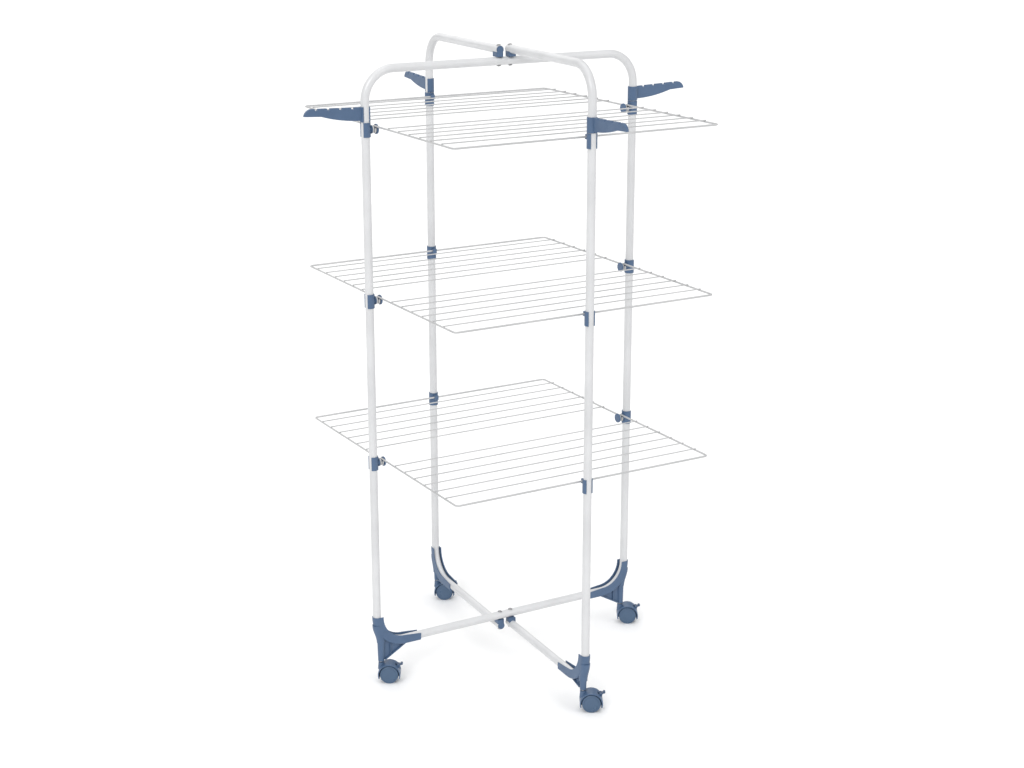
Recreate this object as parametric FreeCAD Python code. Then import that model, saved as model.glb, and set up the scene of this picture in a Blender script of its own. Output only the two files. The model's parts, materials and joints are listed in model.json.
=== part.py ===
"""Rolling tower clothes airer, in millimetres.

A closed hoop of round tube stands in the XZ plane. Two C-shaped half frames are hinged to it by
upright rivets, one to the back (+Y) and one to the front (-Y). Three tiers of wire racks hang
between them: each tier is two racks that turn on hubs clipped to the hoop, and rest in hooks
clipped to the half frames. Every upright also carries a swivelling hanger arm near its top, and a
foot with a braked twin-wheel castor at its bottom.

The origin is on the floor under the middle of the airer, and +Z is up.
"""
import FreeCAD
import Part
import math
import os
from FreeCAD import Placement, Rotation, Vector

# Tubes
TUBE_R = 11.0
TUBE_WALL = 1.0
BEND_R = 80.0
SPIGOT_LENGTH = 35.0
SPIGOT_SHOULDER = 4.0
SNUG = 0.05

# Hoop and half frames
MAIN_HALF_WIDTH = 405.0
HALF_POLE_X = 7.0
HALF_POLE_Y = 438.0
TOP_BAR_Z = 1681.0
BOTTOM_BAR_Z = 113.0
BAR_STEP = 30.0
SEAM_Z = 1060.0

# Frame hinges
RIVET_X = 17.0
RIVET_R = 2.95
RIVET_HOLE_R = 3.03
RIVET_HEAD_R = 6.5
RIVET_HEAD_H = 3.0
STUB = 8.0
BLOCK_R = 9.5
BLOCK_BACK = 16.0
CAP_R = 9.4
CAP_T = 3.0
PLUG_LENGTH = 30.0

# Racks
TIER_Z = (641.0, 1086.0, 1531.0)
RACK_REACH = 420.0
RACK_LINES = 6
LINE_PITCH = 56.5
FRAME_WIRE_R = 2.5
LINE_WIRE_R = 1.6
WELD_SINK = 0.3
RACK_CORNER_R = 10.0
EYE_R = 8.0
EYE_GAP_DEG = 72.0
EYE_NEAR = 18.7
EYE_FAR = 24.9

# Clips on the uprights
CLIP_R = 13.4
CLIP_HEIGHT = 37.0
CLIP_SLOT_DEG = 84.0
NECK_R = 5.2
SPOOL_BASE = 15.8
FLANGE_FROM = 28.0
FLANGE_TO = 32.6
FLANGE_R = 13.0
HOOK_WIDTH = 11.6

# Hanger arms
WING_GAP = 1.5
WING_HEIGHT = 38.0
WING_REACH = 168.0
WING_THICK = 8.0
WING_NOTCHES = (35.0, 68.0, 101.0, 134.5)
NOTCH_R = 4.8
NOTCH_SINK = 0.3

# Feet
FOOT_R = 13.2
FOOT_RISE = 82.0
FOOT_ARM = 128.0
FOOT_BASE_Z = 62.0
FOOT_SIDE_DEPTH = 14.0
FOOT_ARM_DEPTH = 9.0
FOOT_ROUNDING = 4.0
STEM_INSET = 10.0
BOSS_BASE_R = 8.6
BOSS_TOP_R = 11.0
WEB_THICKNESS = 4.0

# Castors
STEM_R = 4.0
STEM_HOLE_R = 4.08
STEM_LOW_Z = 31.0
STEM_TOP_Z = 94.0
HOOD_TOP_Z = 58.0
TRAIL = 22.2
CASTOR_HEADING_DEG = -30.4
WHEEL_R = 25.5
WHEEL_IN = 6.6
WHEEL_OUT = 19.0
AXLE_R = 2.95
AXLE_HOLE_R = 3.03
AXLE_HALF = 16.0
HOOD_R = 31.0
HOOD_INNER_R = 28.2
HOOD_HALF_WIDTH = 20.0
HOOD_SKIRT = 10.0
LEVER_DEG = 42.0
LEVER_PIVOT_R = 34.0
LEVER_HALF_WIDTH = 5.2

X_AXIS = Vector(1, 0, 0)
Y_AXIS = Vector(0, 1, 0)
Z_AXIS = Vector(0, 0, 1)


# ---- small shape helpers ----

def rod(radius, start, end):
    """Round bar between two points."""
    a = Vector(*start)
    run = Vector(*end) - a
    return Part.makeCylinder(radius, run.Length, a, run)


def block(low, high):
    """Box between two corners."""
    a = Vector(*low)
    size = Vector(*high) - a
    return Part.makeBox(size.x, size.y, size.z, a)


def rounded_path(points, radius):
    """Wire through the points, with an arc of the given radius at each inner corner."""
    points = [Vector(*p) for p in points]
    edges = []
    start = points[0]
    for before, corner, after in zip(points, points[1:], points[2:]):
        into = (corner - before).normalize()
        out = (after - corner).normalize()
        cut = radius * math.tan(into.getAngle(out) / 2)
        arc_start = corner - into * cut
        arc_end = corner + out * cut
        centre = arc_start + (out - into * into.dot(out)).normalize() * radius
        middle = centre + (corner - centre).normalize() * radius
        edges.append(Part.LineSegment(start, arc_start).toShape())
        edges.append(Part.Arc(arc_start, middle, arc_end).toShape())
        start = arc_end
    edges.append(Part.LineSegment(start, points[-1]).toShape())
    return Part.Wire(edges)


def pipe(points, bend_radius, radius):
    """Solid round bar that follows a rounded path."""
    path = rounded_path(points, bend_radius)
    start = Vector(*points[0])
    direction = Vector(*points[1]) - start
    ring = Part.Wire([Part.makeCircle(radius, start, direction)])
    return path.makePipeShell([ring], True, False)


def tube(points, bend_radius, radius, wall):
    """Hollow round tube that follows a rounded path."""
    return pipe(points, bend_radius, radius).cut(pipe(points, bend_radius, radius - wall))


def slab(wire, low_y, high_y):
    """Plate with a closed outline drawn in the XZ plane, between two values of Y."""
    face = Part.Face(wire)
    plate = face.extrude(Vector(0, high_y - low_y, 0))
    plate.translate(Vector(0, low_y, 0))
    return plate


def outline(*items):
    """Closed wire in the XZ plane: a 2-number item is a corner, a 4-number item is an arc's middle and end."""
    edges = []
    first = Vector(items[0][0], 0, items[0][1])
    here = first
    for item in items[1:]:
        there = Vector(item[-2], 0, item[-1])
        if len(item) == 4:
            edges.append(Part.Arc(here, Vector(item[0], 0, item[1]), there).toShape())
        else:
            edges.append(Part.LineSegment(here, there).toShape())
        here = there
    edges.append(Part.LineSegment(here, first).toShape())
    return Part.Wire(edges)


def fuse_all(shapes):
    """One solid from several that overlap."""
    return shapes[0].multiFuse(shapes[1:]).removeSplitter()


def placed(shape, at=(0, 0, 0), turn_deg=0.0):
    """Copy of a shape, turned about the Z axis and then moved."""
    moved = shape.copy()
    moved.Placement = Placement(Vector(*at), Rotation(Z_AXIS, turn_deg)).multiply(moved.Placement)
    return moved


# ---- where things go ----

HALF_REACH = math.hypot(HALF_POLE_X + RIVET_X, HALF_POLE_Y)
HALF_LEAN_DEG = math.degrees(math.atan2(HALF_POLE_X + RIVET_X, HALF_POLE_Y))


def to_back(shape):
    """From the half frame's own place (hinge at the origin, reaching along +Y) to the back of the airer."""
    return placed(shape, (-RIVET_X, 0, 0), -HALF_LEAN_DEG)


def to_front(shape):
    """From the half frame's own place to the front of the airer."""
    return placed(shape, (RIVET_X, 0, 0), 180 - HALF_LEAN_DEG)


def at_half_pole(shape):
    """From an upright's own place (axis at the origin, inwards along +X) to the half frame's upright."""
    return placed(shape, (0, HALF_REACH, 0), -90)


def at_left_pole(shape):
    """From an upright's own place to the hoop's -X upright."""
    return placed(shape, (-MAIN_HALF_WIDTH, 0, 0))


def at_right_pole(shape):
    """From an upright's own place to the hoop's +X upright."""
    return placed(shape, (MAIN_HALF_WIDTH, 0, 0), 180)


# ---- tubes ----

def spigot(x, y):
    """Narrowed end of the upper tube, pushed down into the lower tube."""
    neck_r = TUBE_R - TUBE_WALL - SNUG
    shoulder = SEAM_Z + SPIGOT_SHOULDER
    neck = rod(neck_r, (x, y, SEAM_Z - SPIGOT_LENGTH), (x, y, SEAM_Z))
    step = rod(TUBE_R - TUBE_WALL / 2, (x, y, SEAM_Z), (x, y, shoulder))
    bore = rod(neck_r - TUBE_WALL, (x, y, SEAM_Z - SPIGOT_LENGTH - 1), (x, y, shoulder + 1))
    return neck.fuse(step).cut(bore)


def rivet_hole(x, y, z):
    """Upright hole through a bar."""
    return rod(RIVET_HOLE_R, (x, y, z - TUBE_R - 2), (x, y, z + TUBE_R + 2))


def main_hoop_part(bar_z):
    """Half of the closed hoop: a bar, two bends and two uprights that end at the seam."""
    w = MAIN_HALF_WIDTH
    body = tube([(-w, 0, SEAM_Z), (-w, 0, bar_z), (w, 0, bar_z), (w, 0, SEAM_Z)], BEND_R, TUBE_R, TUBE_WALL)
    for x in (-RIVET_X, RIVET_X):
        body = body.cut(rivet_hole(x, 0, bar_z))
    return body


def main_top_hoop():
    return fuse_all([main_hoop_part(TOP_BAR_Z), spigot(-MAIN_HALF_WIDTH, 0), spigot(MAIN_HALF_WIDTH, 0)])


def half_tube(bar_z):
    """One half of a C-shaped half frame, in its own place."""
    points = [(0, -STUB, bar_z), (0, HALF_REACH, bar_z), (0, HALF_REACH, SEAM_Z)]
    return tube(points, BEND_R, TUBE_R, TUBE_WALL).cut(rivet_hole(0, 0, bar_z))


def half_upper_tube():
    return fuse_all([half_tube(TOP_BAR_Z + BAR_STEP), spigot(0, HALF_REACH)])


def half_lower_tube():
    return half_tube(BOTTOM_BAR_Z - BAR_STEP)


# ---- hinges between the half frames and the hoop ----

def hinge_block(bar_z, main_z):
    """Plug in the end of a half frame's bar, with the block that spaces it off the hoop's bar."""
    up = 1 if bar_z > main_z else -1
    rest_z = main_z + up * (TUBE_R + 0.3)
    z_low = min(rest_z, bar_z)
    z_high = max(rest_z, bar_z)
    column = rod(BLOCK_R, (0, 0, z_low), (0, 0, z_high))
    column = column.fuse(block((-BLOCK_R, 0, z_low), (BLOCK_R, BLOCK_BACK, z_high)))
    nose = block((-BLOCK_R, -STUB - CAP_T, z_low), (BLOCK_R, 0, z_high))
    nose = nose.common(rod(BLOCK_R + 2.5, (0, 0, z_low), (0, 0, z_high)))
    cap = rod(CAP_R, (0, -STUB - CAP_T, bar_z), (0, -STUB, bar_z))
    plug = rod(TUBE_R - TUBE_WALL - SNUG, (0, -STUB - 0.5, bar_z), (0, PLUG_LENGTH - STUB, bar_z))
    seat = rod(TUBE_R + SNUG, (0, -STUB, bar_z), (0, BLOCK_BACK + 1, bar_z))
    body = column.fuse(nose).cut(seat)
    body = fuse_all([body, cap, plug])
    return body.cut(rod(RIVET_HOLE_R, (0, 0, z_low - TUBE_R - 2), (0, 0, z_high + TUBE_R + 2)))


def rivet(x, low_z, high_z):
    """Upright rivet with a domed head at each end."""
    ball_r = (RIVET_HEAD_R ** 2 + RIVET_HEAD_H ** 2) / (2 * RIVET_HEAD_H)
    shaft = rod(RIVET_R, (x, 0, low_z), (x, 0, high_z))
    top_ball = Part.makeSphere(ball_r, Vector(x, 0, high_z + RIVET_HEAD_H - ball_r))
    low_ball = Part.makeSphere(ball_r, Vector(x, 0, low_z - RIVET_HEAD_H + ball_r))
    top_head = top_ball.common(rod(RIVET_HEAD_R + 1, (x, 0, high_z), (x, 0, high_z + 2 * RIVET_HEAD_H)))
    low_head = low_ball.common(rod(RIVET_HEAD_R + 1, (x, 0, low_z - 2 * RIVET_HEAD_H), (x, 0, low_z)))
    return fuse_all([shaft, top_head, low_head])


def hinge_rivets():
    """Four rivets: each clamps one half frame's bar to the hoop's bar."""
    reach = TUBE_R + 0.15
    solids = []
    for x in (-RIVET_X, RIVET_X):
        solids.append(rivet(x, TOP_BAR_Z - reach, TOP_BAR_Z + BAR_STEP + reach))
        solids.append(rivet(x, BOTTOM_BAR_Z - BAR_STEP - reach, BOTTOM_BAR_Z + reach))
    return Part.makeCompound(solids)


# ---- clips on the uprights ----

def sleeve(low_z, high_z, slot_toward_deg):
    """Springy C-shaped sleeve round an upright, open on the side that the angle points to."""
    ring = rod(CLIP_R, (0, 0, low_z), (0, 0, high_z))
    ring = ring.cut(rod(TUBE_R + SNUG, (0, 0, low_z - 1), (0, 0, high_z + 1)))
    reach = 3 * CLIP_R
    half = math.radians(CLIP_SLOT_DEG / 2)
    toward = math.radians(slot_toward_deg)
    corners = [Vector(0, 0, low_z - 1)]
    for angle in (toward - half, toward + half):
        corners.append(Vector(reach * math.cos(angle), reach * math.sin(angle), low_z - 1))
    wedge = Part.Face(Part.makePolygon(corners + corners[:1])).extrude(Vector(0, 0, high_z - low_z + 2))
    return ring.cut(wedge)


def hub_clip(z):
    """Sleeve with an inward spool, which two racks' eyes turn on."""
    base = rod(8.2, (9, 0, z), (SPOOL_BASE - 1, 0, z))
    base = base.fuse(rod(11.0, (SPOOL_BASE - 2.2, 0, z), (SPOOL_BASE, 0, z)))
    neck = rod(NECK_R, (SPOOL_BASE - 2, 0, z), (FLANGE_FROM + 1, 0, z))
    flange = rod(FLANGE_R, (FLANGE_FROM, 0, z), (FLANGE_TO, 0, z))
    flange = flange.makeFillet(2.0, [e for e in flange.Edges if e.BoundBox.XMin > FLANGE_TO - 0.1])
    spool = fuse_all([base, neck, flange])
    spool = spool.cut(rod(TUBE_R + SNUG, (0, 0, z - CLIP_HEIGHT), (0, 0, z + CLIP_HEIGHT)))
    return fuse_all([sleeve(z - CLIP_HEIGHT / 2, z + CLIP_HEIGHT / 2, 180), spool])


def hook_clip(z):
    """Sleeve with an inward J-shaped finger, which a rack's outer wire lies in."""
    wire_x = HALF_POLE_Y - RACK_REACH
    wire_z = z + EYE_R
    floor_top = wire_z - FRAME_WIRE_R - 0.8
    floor_low = floor_top - 3.2
    front_in = wire_x + FRAME_WIRE_R + 1.1
    front_out = front_in + 3.2
    lip_low = wire_z + FRAME_WIRE_R + 1.0
    half = HOOK_WIDTH / 2
    bottom = block((3, -half, floor_low), (front_out, half, floor_top))
    front = block((front_in, -half, floor_low), (front_out, half, lip_low + 2.4))
    front = front.makeFillet(1.4, [e for e in front.Edges if e.BoundBox.XMin > front_out - 0.1])
    lip = block((wire_x + 0.8, -half, lip_low), (front_in + 0.5, half, lip_low + 2.4))
    finger = fuse_all([bottom, front, lip])
    finger = finger.cut(rod(TUBE_R + SNUG, (0, 0, floor_low - 1), (0, 0, lip_low + 5)))
    return fuse_all([sleeve(z - CLIP_HEIGHT / 2, z + CLIP_HEIGHT / 2, 180), finger])


def all_tiers(clip):
    """One clip at each tier."""
    return Part.makeCompound([clip(z) for z in TIER_Z])


# ---- hanger arms ----

WING_LOW_Z = TIER_Z[-1] + CLIP_HEIGHT / 2 + WING_GAP


def wing():
    """Flat arm with notches for hangers, on a C-shaped clamp. It reaches along +X from the upright."""
    root = CLIP_R - 2.0
    low = WING_LOW_Z
    top = low + WING_HEIGHT
    tip = WING_REACH
    shape = outline(
        (root, top),
        (146, top + 4.5),
        (162, top - 2, tip, low + 25),
        (tip - 1, low + 24),
        (122, low + 21.5),
        (72, low + 9.5, root, low + 4),
    )
    arm = slab(shape, -WING_THICK / 2, WING_THICK / 2)
    rim = [e for e in arm.Edges if e.BoundBox.XMax > root + 5 and e.BoundBox.YLength < 0.01]
    arm = arm.makeFillet(1.2, rim)
    for x in WING_NOTCHES:
        notch_z = top + 4.5 * (x - root) / (146 - root) - NOTCH_SINK
        arm = arm.cut(rod(NOTCH_R, (x, -WING_THICK, notch_z), (x, WING_THICK, notch_z)))
    clamp = sleeve(low, top, 90)
    return fuse_all([clamp, arm])


# ---- feet ----

def foot(bar_z):
    """Channel that cups the tube's lower bend, with a boss for the castor's stem. The upright is at x = 0."""
    top = bar_z + FOOT_RISE
    turn = bar_z + BEND_R
    path = [(0, 0, top), (0, 0, bar_z), (FOOT_ARM, 0, bar_z)]
    long_path = [(0, 0, top + 20), (0, 0, bar_z), (FOOT_ARM + 20, 0, bar_z)]
    wall = FOOT_SIDE_DEPTH
    diagonal = math.cos(math.radians(45))
    inner_r = BEND_R - wall
    open_r = BEND_R - 3 * wall
    slot_outline = outline(
        (0, top + 5),
        (3 * wall, top + 5),
        (3 * wall, turn),
        (BEND_R - open_r * diagonal, turn - open_r * diagonal, BEND_R, turn - open_r),
        (FOOT_ARM + 5, bar_z + 3 * wall),
        (FOOT_ARM + 5, bar_z),
        (BEND_R, bar_z),
        (BEND_R - BEND_R * diagonal, turn - BEND_R * diagonal, 0, turn),
    )
    gap = TUBE_R + SNUG
    side_r = BEND_R + FOOT_R - 1.2
    drop = math.sqrt(side_r ** 2 - BEND_R ** 2)
    side_outline = outline(
        (0, top),
        (wall, top),
        (wall, turn),
        (BEND_R - inner_r * diagonal, turn - inner_r * diagonal, BEND_R, turn - inner_r),
        (FOOT_ARM, bar_z + FOOT_ARM_DEPTH),
        (FOOT_ARM, turn - side_r),
        (BEND_R, turn - side_r),
        (BEND_R - side_r * diagonal, turn - side_r * diagonal, 0, turn - drop),
    )
    sides = slab(side_outline, -FOOT_R, FOOT_R)
    outer_arcs = [e for e in sides.Edges if isinstance(e.Curve, Part.Circle) and e.BoundBox.XMin < 1]
    sides = sides.makeFillet(FOOT_ROUNDING, outer_arcs)
    grip = pipe(path, BEND_R, FOOT_R).fuse(sides)
    boss_top = bar_z + BEND_R - math.sqrt(BEND_R ** 2 - (BEND_R - STEM_INSET) ** 2)
    boss_base = Vector(STEM_INSET, 0, FOOT_BASE_Z)
    boss = Part.makeCone(BOSS_BASE_R, BOSS_TOP_R, boss_top - FOOT_BASE_Z, boss_base, Z_AXIS)
    rings = []
    for height, x, radius in ((58, 0, FOOT_R), (44, 1.5, FOOT_R), (26, 6.5, 12.4), (4, STEM_INSET, 11.4)):
        rings.append(Part.Wire([Part.makeCircle(radius, Vector(x, 0, bar_z + height), Z_AXIS)]))
    shoulder = Part.makeLoft(rings, True)
    web_end = FOOT_ARM * 0.28 + (bar_z - FOOT_BASE_Z)
    web_outline = outline(
        (STEM_INSET, FOOT_BASE_Z + 1),
        (STEM_INSET + 10, FOOT_BASE_Z + 1),
        (web_end, bar_z - TUBE_R - 1),
        (web_end, bar_z),
        (STEM_INSET, boss_top),
    )
    web = slab(web_outline, -WEB_THICKNESS / 2, WEB_THICKNESS / 2)
    run = Vector(web_end - STEM_INSET - 10, 0, bar_z - TUBE_R - 2 - FOOT_BASE_Z)
    edge_rib = Part.makeBox(run.Length, 14, 3, Vector(0, -7, 0))
    edge_rib.Placement = Placement(Vector(STEM_INSET + 10, 0, FOOT_BASE_Z + 1), Rotation(X_AXIS, run))
    rib_x = STEM_INSET + 0.34 * (web_end - STEM_INSET)
    rib_z = FOOT_BASE_Z + 0.34 * (bar_z - TUBE_R - FOOT_BASE_Z)
    cross_rib = block((rib_x, -6, rib_z), (rib_x + 2.5, 6, bar_z))
    body = grip.fuse([boss, shoulder, web, edge_rib, cross_rib])
    body = body.cut(pipe(long_path, BEND_R, gap)).cut(slab(slot_outline, -gap, gap))
    body = body.cut(rod(STEM_R + SNUG, (STEM_INSET, 0, FOOT_BASE_Z - 1), (STEM_INSET, 0, STEM_TOP_Z + 1)))
    return max(body.Solids, key=lambda solid: solid.Volume)


def castor_stem():
    """Steel pin pressed up into a foot, with a collar under it. The castor swivels on it."""
    pin = rod(STEM_R, (STEM_INSET, 0, STEM_LOW_Z), (STEM_INSET, 0, STEM_TOP_Z))
    collar = rod(6.0, (STEM_INSET, 0, HOOD_TOP_Z + 1.4), (STEM_INSET, 0, FOOT_BASE_Z))
    return fuse_all([pin, collar])


# ---- castors, in their own place: stem on the Z axis, wheels trailing along +X ----

def lever_point(extra_out=0.0, extra_down=0.0):
    """Point near the lever's pivot, moved outwards and down along the wheel's rim."""
    angle = math.radians(LEVER_DEG)
    out = LEVER_PIVOT_R + extra_out
    x = TRAIL + out * math.cos(angle) + extra_down * math.sin(angle)
    z = WHEEL_R + out * math.sin(angle) - extra_down * math.cos(angle)
    return x, z


def castor_hood():
    """Arched cover over both wheels, with the web that holds the axle and the boss for the stem."""
    w = HOOD_HALF_WIDTH
    centre = Vector(TRAIL, 0, WHEEL_R)
    arch = rod(HOOD_R, (TRAIL, -w, WHEEL_R), (TRAIL, w, WHEEL_R))
    arch = arch.cut(rod(HOOD_INNER_R, (TRAIL, -w - 1, WHEEL_R), (TRAIL, w + 1, WHEEL_R)))
    web = rod(HOOD_INNER_R + 1, (TRAIL, -2.4, WHEEL_R), (TRAIL, 2.4, WHEEL_R))
    hub = rod(7.5, (TRAIL, -6.0, WHEEL_R), (TRAIL, 6.0, WHEEL_R))
    upper = block((-60, -w - 5, WHEEL_R - HOOD_SKIRT), (90, w + 5, HOOD_TOP_Z))
    cover = arch.fuse(web).common(upper)
    boss = Part.makeCone(9.6, 8.0, HOOD_TOP_Z - 38, Vector(0, 0, 38), Z_AXIS)
    spine = block((-6.2, -5.9, STEM_LOW_Z - 3), (6.0, 5.9, 44))
    start_x, start_z = lever_point(-LEVER_PIVOT_R + HOOD_INNER_R + 0.6)
    pin_x, pin_z = lever_point()
    ears = []
    for side in (-1, 1):
        y_in = side * (LEVER_HALF_WIDTH + 0.4)
        y_out = side * (LEVER_HALF_WIDTH + 2.6)
        ear = rod(4.2, (pin_x, y_in, pin_z), (pin_x, y_out, pin_z))
        root = rod(4.2, (start_x, y_in, start_z), (start_x, y_out, start_z))
        ears.append(ear.fuse(root))
    body = fuse_all([cover, hub, boss, spine] + ears)
    for side in (-1, 1):
        inner = side * (WHEEL_IN - 0.6)
        body = body.cut(rod(HOOD_INNER_R, (TRAIL, inner, WHEEL_R), (TRAIL, side * 2 * w, WHEEL_R)))
    slot = Part.makeBox(17, 2 * (LEVER_HALF_WIDTH + 0.4), 22, Vector(-8.5, -LEVER_HALF_WIDTH - 0.4, -9))
    slot.Placement = Placement(Vector(pin_x, 0, pin_z), Rotation(Y_AXIS, 90 - LEVER_DEG)).multiply(slot.Placement)
    body = body.cut(slot)
    body = body.cut(rod(2.1, (pin_x, -w, pin_z), (pin_x, w, pin_z)))
    body = body.cut(rod(AXLE_R + SNUG, centre - Y_AXIS * w, centre + Y_AXIS * w))
    body = body.cut(rod(STEM_HOLE_R, (0, 0, STEM_LOW_Z - 0.4), (0, 0, HOOD_TOP_Z + 1)))
    return max(body.Solids, key=lambda solid: solid.Volume)


def castor_axle():
    return rod(AXLE_R, (TRAIL, -AXLE_HALF, WHEEL_R), (TRAIL, AXLE_HALF, WHEEL_R))


def castor_wheel(side):
    """Wheel with a rounded tread, a flat outer face with a shallow rim line, and a blind bore."""
    near = (TRAIL, side * WHEEL_IN, WHEEL_R)
    far = (TRAIL, side * WHEEL_OUT, WHEEL_R)
    disc = rod(WHEEL_R, near, far)
    disc = disc.makeFillet(2.2, [e for e in disc.Edges if isinstance(e.Curve, Part.Circle)])
    line_in = (TRAIL, side * (WHEEL_OUT - 0.7), WHEEL_R)
    line_out = (TRAIL, side * (WHEEL_OUT + 1), WHEEL_R)
    rim_line = rod(20.6, line_in, line_out).cut(rod(19.6, line_in, line_out))
    bore_end = (TRAIL, side * (AXLE_HALF + 0.4), WHEEL_R)
    bore_start = (TRAIL, side * (WHEEL_IN - 1), WHEEL_R)
    return disc.cut(rim_line).cut(rod(AXLE_HOLE_R, bore_start, bore_end))


def brake_lever():
    """Lever with a paddle to tread on and a toe that comes down towards the wheels' treads."""
    w = LEVER_HALF_WIDTH
    pin_x, pin_z = lever_point()
    tip_x, tip_z = pin_x + 8.9, pin_z + 4.9
    barrel = rod(3.6, (pin_x, -w, pin_z), (pin_x, w, pin_z))
    trunnions = rod(2.0, (pin_x, -w - 2.6, pin_z), (pin_x, w + 2.6, pin_z))
    neck = Part.makeBox(10.5, 2 * w, 3.6, Vector(0, -w, -1.8))
    slope = -math.degrees(math.atan2(tip_z - pin_z, tip_x - pin_x))
    neck.Placement = Placement(Vector(pin_x, 0, pin_z), Rotation(Y_AXIS, slope)).multiply(neck.Placement)
    paddle = rod(3.4, (tip_x, -w, tip_z), (tip_x, w, tip_z))
    paddle = paddle.makeFillet(1.2, [e for e in paddle.Edges if isinstance(e.Curve, Part.Circle)])
    toe = []
    for radius, out, down in ((3.0, -2.4, 1.9), (2.2, -4.9, 3.8)):
        toe_x, toe_z = lever_point(out, down)
        toe.append(rod(radius, (toe_x, -w, toe_z), (toe_x, w, toe_z)))
    return fuse_all([barrel, trunnions, neck, paddle] + toe)


# ---- racks, in the back rack's place on one tier ----

def eye_arc(x, z, towards_start):
    """Open eye round a hub's neck: it runs from near the rack's side round to the side's own line."""
    gap = math.radians(EYE_GAP_DEG)
    opening = Vector(x, EYE_R * math.sin(gap), z + EYE_R * math.cos(gap))
    bottom = Vector(x, 0, z - EYE_R)
    top = Vector(x, 0, z + EYE_R)
    if towards_start:
        return Part.Arc(opening, bottom, top).toShape()
    return Part.Arc(top, bottom, opening).toShape()


def rack_frame(z):
    """Heavy wire bent to a U, with an eye at each end round a hub's neck."""
    left = -MAIN_HALF_WIDTH + EYE_NEAR
    right = MAIN_HALF_WIDTH - EYE_FAR
    wire_z = z + EYE_R
    points = [(left, 0, wire_z), (left, RACK_REACH, wire_z), (right, RACK_REACH, wire_z), (right, 0, wire_z)]
    sides = rounded_path(points, RACK_CORNER_R).Edges
    first_eye = eye_arc(left, z, True)
    path = Part.Wire([first_eye] + sides + [eye_arc(right, z, False)])
    start = first_eye.valueAt(first_eye.FirstParameter)
    ring = Part.makeCircle(FRAME_WIRE_R, start, first_eye.tangentAt(first_eye.FirstParameter))
    return path.makePipeShell([Part.Wire([ring])], True, False)


def rack_lines(z, frame):
    """Thin wires laid across the U and welded on top of its sides."""
    left = -MAIN_HALF_WIDTH + EYE_NEAR - 1
    right = MAIN_HALF_WIDTH - EYE_FAR + 1
    line_z = z + EYE_R + FRAME_WIRE_R + LINE_WIRE_R - WELD_SINK
    solids = []
    for count in range(1, RACK_LINES + 1):
        y = RACK_REACH - count * LINE_PITCH
        solids.append(rod(LINE_WIRE_R, (left, y, line_z), (right, y, line_z)).cut(frame))
    return Part.makeCompound(solids)


# ---- the assembly ----

def main_frame_nodes():
    """The hoop and what is fixed to it."""
    main_foot = foot(BOTTOM_BAR_Z)
    hub_clips = all_tiers(hub_clip)
    stem = castor_stem()
    return {
        "main_top_hoop": main_top_hoop(),
        "main_lower_hoop": main_hoop_part(BOTTOM_BAR_Z),
        "left_hub_clips": at_left_pole(hub_clips),
        "right_hub_clips": at_right_pole(hub_clips),
        "left_foot": at_left_pole(main_foot),
        "right_foot": at_right_pole(main_foot),
        "hinge_rivets": hinge_rivets(),
        "main_castor_stems": Part.makeCompound([at_left_pole(stem), at_right_pole(stem)]),
    }


def half_frame_nodes():
    """Both half frames and what is fixed to them."""
    pieces = {
        "upper_tube": half_upper_tube(),
        "lower_tube": half_lower_tube(),
        "top_hinge_block": hinge_block(TOP_BAR_Z + BAR_STEP, TOP_BAR_Z),
        "bottom_hinge_block": hinge_block(BOTTOM_BAR_Z - BAR_STEP, BOTTOM_BAR_Z),
        "hook_clips": at_half_pole(all_tiers(hook_clip)),
        "foot": at_half_pole(foot(BOTTOM_BAR_Z - BAR_STEP)),
        "castor_stem": at_half_pole(castor_stem()),
    }
    nodes = {}
    for name, shape in pieces.items():
        nodes["back_" + name] = to_back(shape)
        nodes["front_" + name] = to_front(shape)
    return nodes


def wing_nodes():
    """A hanger arm on each upright, pointing away from the middle."""
    arm = wing()
    half_arm = placed(arm, (0, HALF_REACH, 0), 90)
    return {
        "left_hanger_arm": placed(arm, (-MAIN_HALF_WIDTH, 0, 0), 180),
        "right_hanger_arm": placed(arm, (MAIN_HALF_WIDTH, 0, 0)),
        "back_hanger_arm": to_back(half_arm),
        "front_hanger_arm": to_front(half_arm),
    }


def rack_nodes():
    """Two racks on each tier. The front one is the back one turned half a turn."""
    nodes = {}
    for name, z in zip(("low", "middle", "high"), TIER_Z):
        frame = rack_frame(z)
        lines = rack_lines(z, frame)
        for side, turn in (("back", 0), ("front", 180)):
            nodes[f"{side}_{name}_rack_frame"] = placed(frame, turn_deg=turn)
            nodes[f"{side}_{name}_rack_lines"] = placed(lines, turn_deg=turn)
    return nodes


def castor_places():
    """Where each castor's stem stands."""
    inner = HALF_REACH - STEM_INSET
    lean = math.radians(HALF_LEAN_DEG)
    back = Vector(-RIVET_X + inner * math.sin(lean), inner * math.cos(lean), 0)
    reach = MAIN_HALF_WIDTH - STEM_INSET
    return {"left": Vector(-reach, 0, 0), "right": Vector(reach, 0, 0), "back": back, "front": back * -1}


def castor_nodes():
    """Four castors, all trailing the same way."""
    pieces = {
        "castor_hood": castor_hood(),
        "castor_axle": castor_axle(),
        "castor_wheel_a": castor_wheel(-1),
        "castor_wheel_b": castor_wheel(1),
        "brake_lever": brake_lever(),
    }
    nodes = {}
    for place, stem_at in castor_places().items():
        for name, shape in pieces.items():
            nodes[f"{place}_{name}"] = placed(shape, stem_at, CASTOR_HEADING_DEG)
    return nodes


os.makedirs("parts", exist_ok=True)
every_node = {}
for group in (main_frame_nodes(), half_frame_nodes(), wing_nodes(), rack_nodes(), castor_nodes()):
    every_node.update(group)
for node_name, node_shape in every_node.items():
    node_shape.exportStep(f"parts/{node_name}.step")
print(len(every_node), "nodes", FreeCAD.Version()[0])
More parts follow.
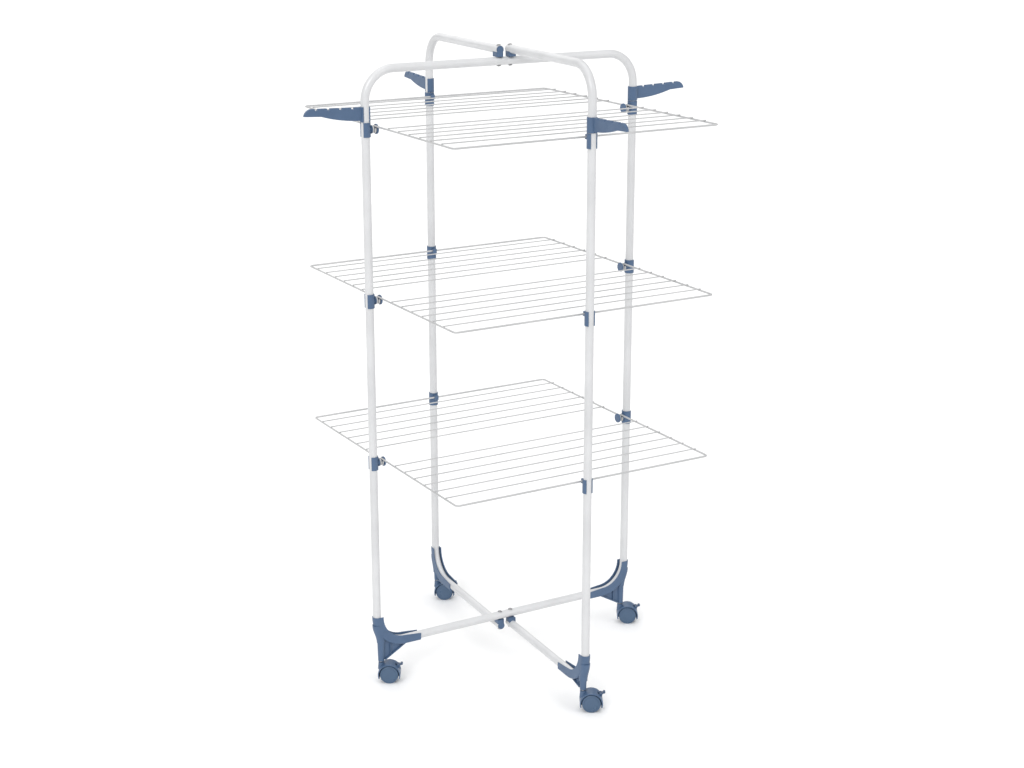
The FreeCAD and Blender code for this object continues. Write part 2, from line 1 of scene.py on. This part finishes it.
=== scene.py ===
import bmesh
import bpy
import json
import math
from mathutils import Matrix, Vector


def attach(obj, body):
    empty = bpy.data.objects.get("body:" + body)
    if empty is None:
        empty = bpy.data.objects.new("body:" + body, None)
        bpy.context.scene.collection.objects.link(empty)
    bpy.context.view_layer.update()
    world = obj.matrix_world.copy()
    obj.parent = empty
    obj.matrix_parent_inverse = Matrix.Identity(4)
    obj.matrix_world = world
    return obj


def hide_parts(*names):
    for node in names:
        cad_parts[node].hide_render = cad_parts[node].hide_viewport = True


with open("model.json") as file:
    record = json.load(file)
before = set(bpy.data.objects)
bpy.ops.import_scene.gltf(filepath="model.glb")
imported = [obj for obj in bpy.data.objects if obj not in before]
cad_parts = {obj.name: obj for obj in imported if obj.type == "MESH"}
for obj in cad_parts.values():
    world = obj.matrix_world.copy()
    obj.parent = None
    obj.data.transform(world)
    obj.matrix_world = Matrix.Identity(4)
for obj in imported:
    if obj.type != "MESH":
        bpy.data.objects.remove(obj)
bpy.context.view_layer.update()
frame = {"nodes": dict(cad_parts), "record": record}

# Rounded edges of the moulded pieces, in metres and degrees
EDGE_RADIUS = {"blue_plastic": 0.0006, "dark_plastic": 0.0005, "wheel_plastic": 0.0006}
EDGE_STEPS = 3
SAME_POINT = 1e-6
FLAT_WITHIN_DEG = 0.5
SHARP_OVER_DEG = 38
SMOOTH_UNDER_DEG = 40

# Camera, in metres, degrees and millimetres of lens
CAMERA_AZIMUTH_DEG = 30.2
CAMERA_DISTANCE = 4.687
CAMERA_ASIDE = 0.020
CAMERA_HEIGHT = 2.206
CAMERA_PITCH_DEG = 16.7
CAMERA_LENS = 62.5

# Soft suns: compass direction, height and softness in degrees, then strength
SUNS = {
    "key": (-52, 34, 30, 1.35),
    "back": (170, 30, 50, 0.45),
    "fill": (30, 25, 40, 0.45),
    "overhead": (0, 88, 60, 1.0),
}
SKY_STRENGTH = 0.55
FLOOR_SIZE = 200


# ---- materials ----

class Nodes:
    """Short way to add shader nodes and link them."""

    def __init__(self, name):
        self.material = bpy.data.materials.new(name)
        self.material.use_nodes = True
        self.tree = self.material.node_tree
        self.shader = self.tree.nodes["Principled BSDF"]
        self.space = self.add("ShaderNodeTexCoord").outputs["Object"]

    def add(self, kind, **settings):
        node = self.tree.nodes.new(kind)
        for key, value in settings.items():
            setattr(node, key, value)
        return node

    def link(self, source, target):
        self.tree.links.new(source, target)

    def noise(self, scale, detail=4.0, roughness=0.5):
        """Noise with about this many blobs per metre."""
        node = self.add("ShaderNodeTexNoise")
        node.inputs["Scale"].default_value = scale
        node.inputs["Detail"].default_value = detail
        node.inputs["Roughness"].default_value = roughness
        self.link(self.space, node.inputs["Vector"])
        return node.outputs["Fac"]

    def ramp(self, value, low, high, out_low, out_high):
        """The value between low and high, stretched to the output range."""
        node = self.add("ShaderNodeMapRange")
        node.inputs["From Min"].default_value = low
        node.inputs["From Max"].default_value = high
        node.inputs["To Min"].default_value = out_low
        node.inputs["To Max"].default_value = out_high
        self.link(value, node.inputs["Value"])
        return node.outputs["Result"]

    def colours(self, value, low, high):
        """From the low colour at 0 to the high colour at 1."""
        node = self.add("ShaderNodeMix", data_type="RGBA")
        node.inputs["A"].default_value = (*low, 1)
        node.inputs["B"].default_value = (*high, 1)
        self.link(value, node.inputs["Factor"])
        return node.outputs["Result"]

    def mixed(self, value, base, top):
        """The base colour socket, turned to the top colour where the value is 1."""
        node = self.add("ShaderNodeMix", data_type="RGBA")
        self.link(base, node.inputs["A"])
        node.inputs["B"].default_value = (*top, 1)
        self.link(value, node.inputs["Factor"])
        return node.outputs["Result"]

    def bump(self, heights):
        """Stack of bumps: (height socket, strength, distance in metres)."""
        normal = None
        for height, strength, distance in heights:
            node = self.add("ShaderNodeBump")
            node.inputs["Strength"].default_value = strength
            node.inputs["Distance"].default_value = distance
            self.link(height, node.inputs["Height"])
            if normal is not None:
                self.link(normal, node.inputs["Normal"])
            normal = node.outputs["Normal"]
        self.link(normal, self.shader.inputs["Normal"])

    def set(self, **values):
        for key, value in values.items():
            self.shader.inputs[key.replace("_", " ")].default_value = value


def powder_coat(name, low, high, rough, peel_scale):
    """Baked paint: fine orange peel, slightly uneven gloss, a few dull rubbed patches and dust specks."""
    n = Nodes(name)
    cloud = n.ramp(n.noise(9, 3), 0.35, 0.65, 0, 1)
    clean = n.colours(cloud, low, high)
    specks = n.ramp(n.noise(700, 2), 0.72, 0.80, 0, 0.45)
    n.link(n.mixed(specks, clean, tuple(0.72 * c for c in low)), n.shader.inputs["Base Color"])
    rubbed = n.ramp(n.noise(22, 5, 0.7), 0.52, 0.68, rough, rough + 0.14)
    n.link(rubbed, n.shader.inputs["Roughness"])
    peel = n.noise(peel_scale, 2)
    n.bump([(peel, 0.12, 0.0004), (n.noise(peel_scale * 4, 2), 0.05, 0.0001)])
    n.set(Coat_Weight=0.3, Coat_Roughness=0.16)
    return n.material


def moulded_plastic(name, low, high, rough):
    """Injection-moulded polypropylene: flow clouds, pale rubbed specks, spark-eroded grain, fine scuffs."""
    n = Nodes(name)
    flow = n.ramp(n.noise(16, 5, 0.6), 0.3, 0.7, 0, 1)
    dyed = n.colours(flow, low, high)
    worn = n.ramp(n.noise(420, 3, 0.7), 0.64, 0.76, 0, 0.5)
    n.link(n.mixed(worn, dyed, tuple(1.45 * c for c in high)), n.shader.inputs["Base Color"])
    scuffs = n.noise(55, 6, 0.75)
    n.link(n.ramp(scuffs, 0.35, 0.65, rough - 0.07, rough + 0.10), n.shader.inputs["Roughness"])
    grain = n.noise(1100, 3, 0.6)
    n.bump([(grain, 0.22, 0.00012), (n.noise(38, 2), 0.12, 0.0005)])
    n.set(IOR=1.49)
    return n.material


def bright_steel(name):
    """Zinc-plated steel: small crystals in the plating and a fine uneven gloss."""
    n = Nodes(name)
    crystals = n.ramp(n.noise(260, 4, 0.6), 0.35, 0.65, 0, 1)
    n.link(n.colours(crystals, (0.26, 0.26, 0.27), (0.44, 0.44, 0.44)), n.shader.inputs["Base Color"])
    n.link(n.ramp(n.noise(500, 2), 0.3, 0.7, 0.24, 0.44), n.shader.inputs["Roughness"])
    n.bump([(n.noise(1500, 2), 0.1, 0.00005)])
    n.set(Metallic=1.0)
    return n.material


TUBE_PAINT = powder_coat("tube_paint", (0.565, 0.57, 0.58), (0.625, 0.63, 0.64), 0.28, 260)
WIRE_PAINT = powder_coat("wire_paint", (0.42, 0.425, 0.43), (0.48, 0.48, 0.485), 0.32, 420)
BLUE = moulded_plastic("blue_plastic", (0.059, 0.107, 0.195), (0.070, 0.124, 0.220), 0.40)
DARK_BLUE = moulded_plastic("dark_plastic", (0.042, 0.077, 0.142), (0.052, 0.091, 0.165), 0.38)
WHEEL_BLUE = moulded_plastic("wheel_plastic", (0.054, 0.099, 0.170), (0.064, 0.113, 0.191), 0.32)
STEEL = bright_steel("bright_steel")

BY_SLOT = {
    "white_tube": TUBE_PAINT,
    "white_wire": WIRE_PAINT,
    "blue_plastic": BLUE,
    "dark_plastic": DARK_BLUE,
    "wheel_plastic": WHEEL_BLUE,
    "steel": STEEL,
}
slot_of = {part["node"]: part["material_slot"] for part in frame["record"]["subparts"]}
for node_name, piece in frame["nodes"].items():
    for material_slot in piece.material_slots:
        material_slot.material = BY_SLOT[slot_of[node_name]]


# ---- moulded pieces with rounded edges ----

body_of = {n: body for body, names in frame["record"]["behaviour"]["bodies"].items() for n in names}


def rounded_mesh(source, radius):
    """A copy of the mesh with its flat faces made whole and its sharp edges rounded."""
    mesh = bmesh.new()
    mesh.from_mesh(source)
    bmesh.ops.remove_doubles(mesh, verts=mesh.verts, dist=SAME_POINT)
    bmesh.ops.dissolve_limit(
        mesh,
        angle_limit=math.radians(FLAT_WITHIN_DEG),
        verts=mesh.verts,
        edges=mesh.edges,
        delimit={"NORMAL"},
    )
    limit = math.radians(SHARP_OVER_DEG)
    sharp = [e for e in mesh.edges if len(e.link_faces) == 2 and e.calc_face_angle(0) > limit]
    bmesh.ops.bevel(
        mesh,
        geom=sharp,
        offset=radius,
        offset_type="OFFSET",
        segments=EDGE_STEPS,
        profile=0.5,
        affect="EDGES",
        clamp_overlap=True,
        loop_slide=True,
    )
    rounded = bpy.data.meshes.new(source.name + "_rounded")
    mesh.to_mesh(rounded)
    mesh.free()
    rounded.shade_smooth()
    rounded.set_sharp_from_angle(angle=math.radians(SMOOTH_UNDER_DEG))
    return rounded


def mould(node_name, radius, finish):
    """Stands for a CAD node: the same shape with moulded, rounded edges, on the same body."""
    shape = rounded_mesh(frame["nodes"][node_name].data, radius)
    piece = bpy.data.objects.new(node_name + "_moulded", shape)
    bpy.context.scene.collection.objects.link(piece)
    piece.data.materials.clear()
    piece.data.materials.append(BY_SLOT[finish])
    even = piece.modifiers.new("even shading", "WEIGHTED_NORMAL")
    even.keep_sharp = True
    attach(piece, body_of[node_name])
    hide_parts(node_name)


for node_name, finish in slot_of.items():
    if finish in EDGE_RADIUS:
        mould(node_name, EDGE_RADIUS[finish], finish)


# ---- floor, light and camera ----

def floor():
    bpy.ops.mesh.primitive_plane_add(size=FLOOR_SIZE)
    plane = bpy.context.object
    plane.name = "floor"
    n = Nodes("floor_paint")
    n.link(n.colours(n.noise(2, 3), (0.93, 0.93, 0.93), (0.96, 0.96, 0.96)), n.shader.inputs["Base Color"])
    n.set(Roughness=0.75)
    plane.data.materials.append(n.material)


def soft_sun(name, azimuth, elevation, softness, strength):
    """Parallel light from a compass direction and a height above the floor, all in degrees."""
    light = bpy.data.lights.new(name, "SUN")
    light.angle = math.radians(softness)
    light.energy = strength
    lamp = bpy.data.objects.new(name, light)
    bpy.context.scene.collection.objects.link(lamp)
    lamp.rotation_euler = (math.radians(90 - elevation), 0, math.radians(azimuth))


def world_light(strength):
    world = bpy.data.worlds.new("studio")
    world.use_nodes = True
    world.node_tree.nodes["Background"].inputs["Color"].default_value = (1, 1, 1, 1)
    world.node_tree.nodes["Background"].inputs["Strength"].default_value = strength
    bpy.context.scene.world = world


def photo_camera():
    azimuth = math.radians(CAMERA_AZIMUTH_DEG)
    camera = bpy.data.objects.new("camera", bpy.data.cameras.new("camera"))
    bpy.context.scene.collection.objects.link(camera)
    back = Vector((-math.sin(azimuth), -math.cos(azimuth), 0)) * CAMERA_DISTANCE
    right = Vector((math.cos(azimuth), -math.sin(azimuth), 0)) * CAMERA_ASIDE
    camera.location = back + right + Vector((0, 0, CAMERA_HEIGHT))
    camera.rotation_euler = (math.radians(90 - CAMERA_PITCH_DEG), 0, -azimuth)
    camera.data.lens = CAMERA_LENS
    bpy.context.scene.camera = camera


floor()
world_light(SKY_STRENGTH)
for sun_name, settings in SUNS.items():
    soft_sun(sun_name, *settings)
bpy.context.scene.view_settings.view_transform = "Standard"
photo_camera()
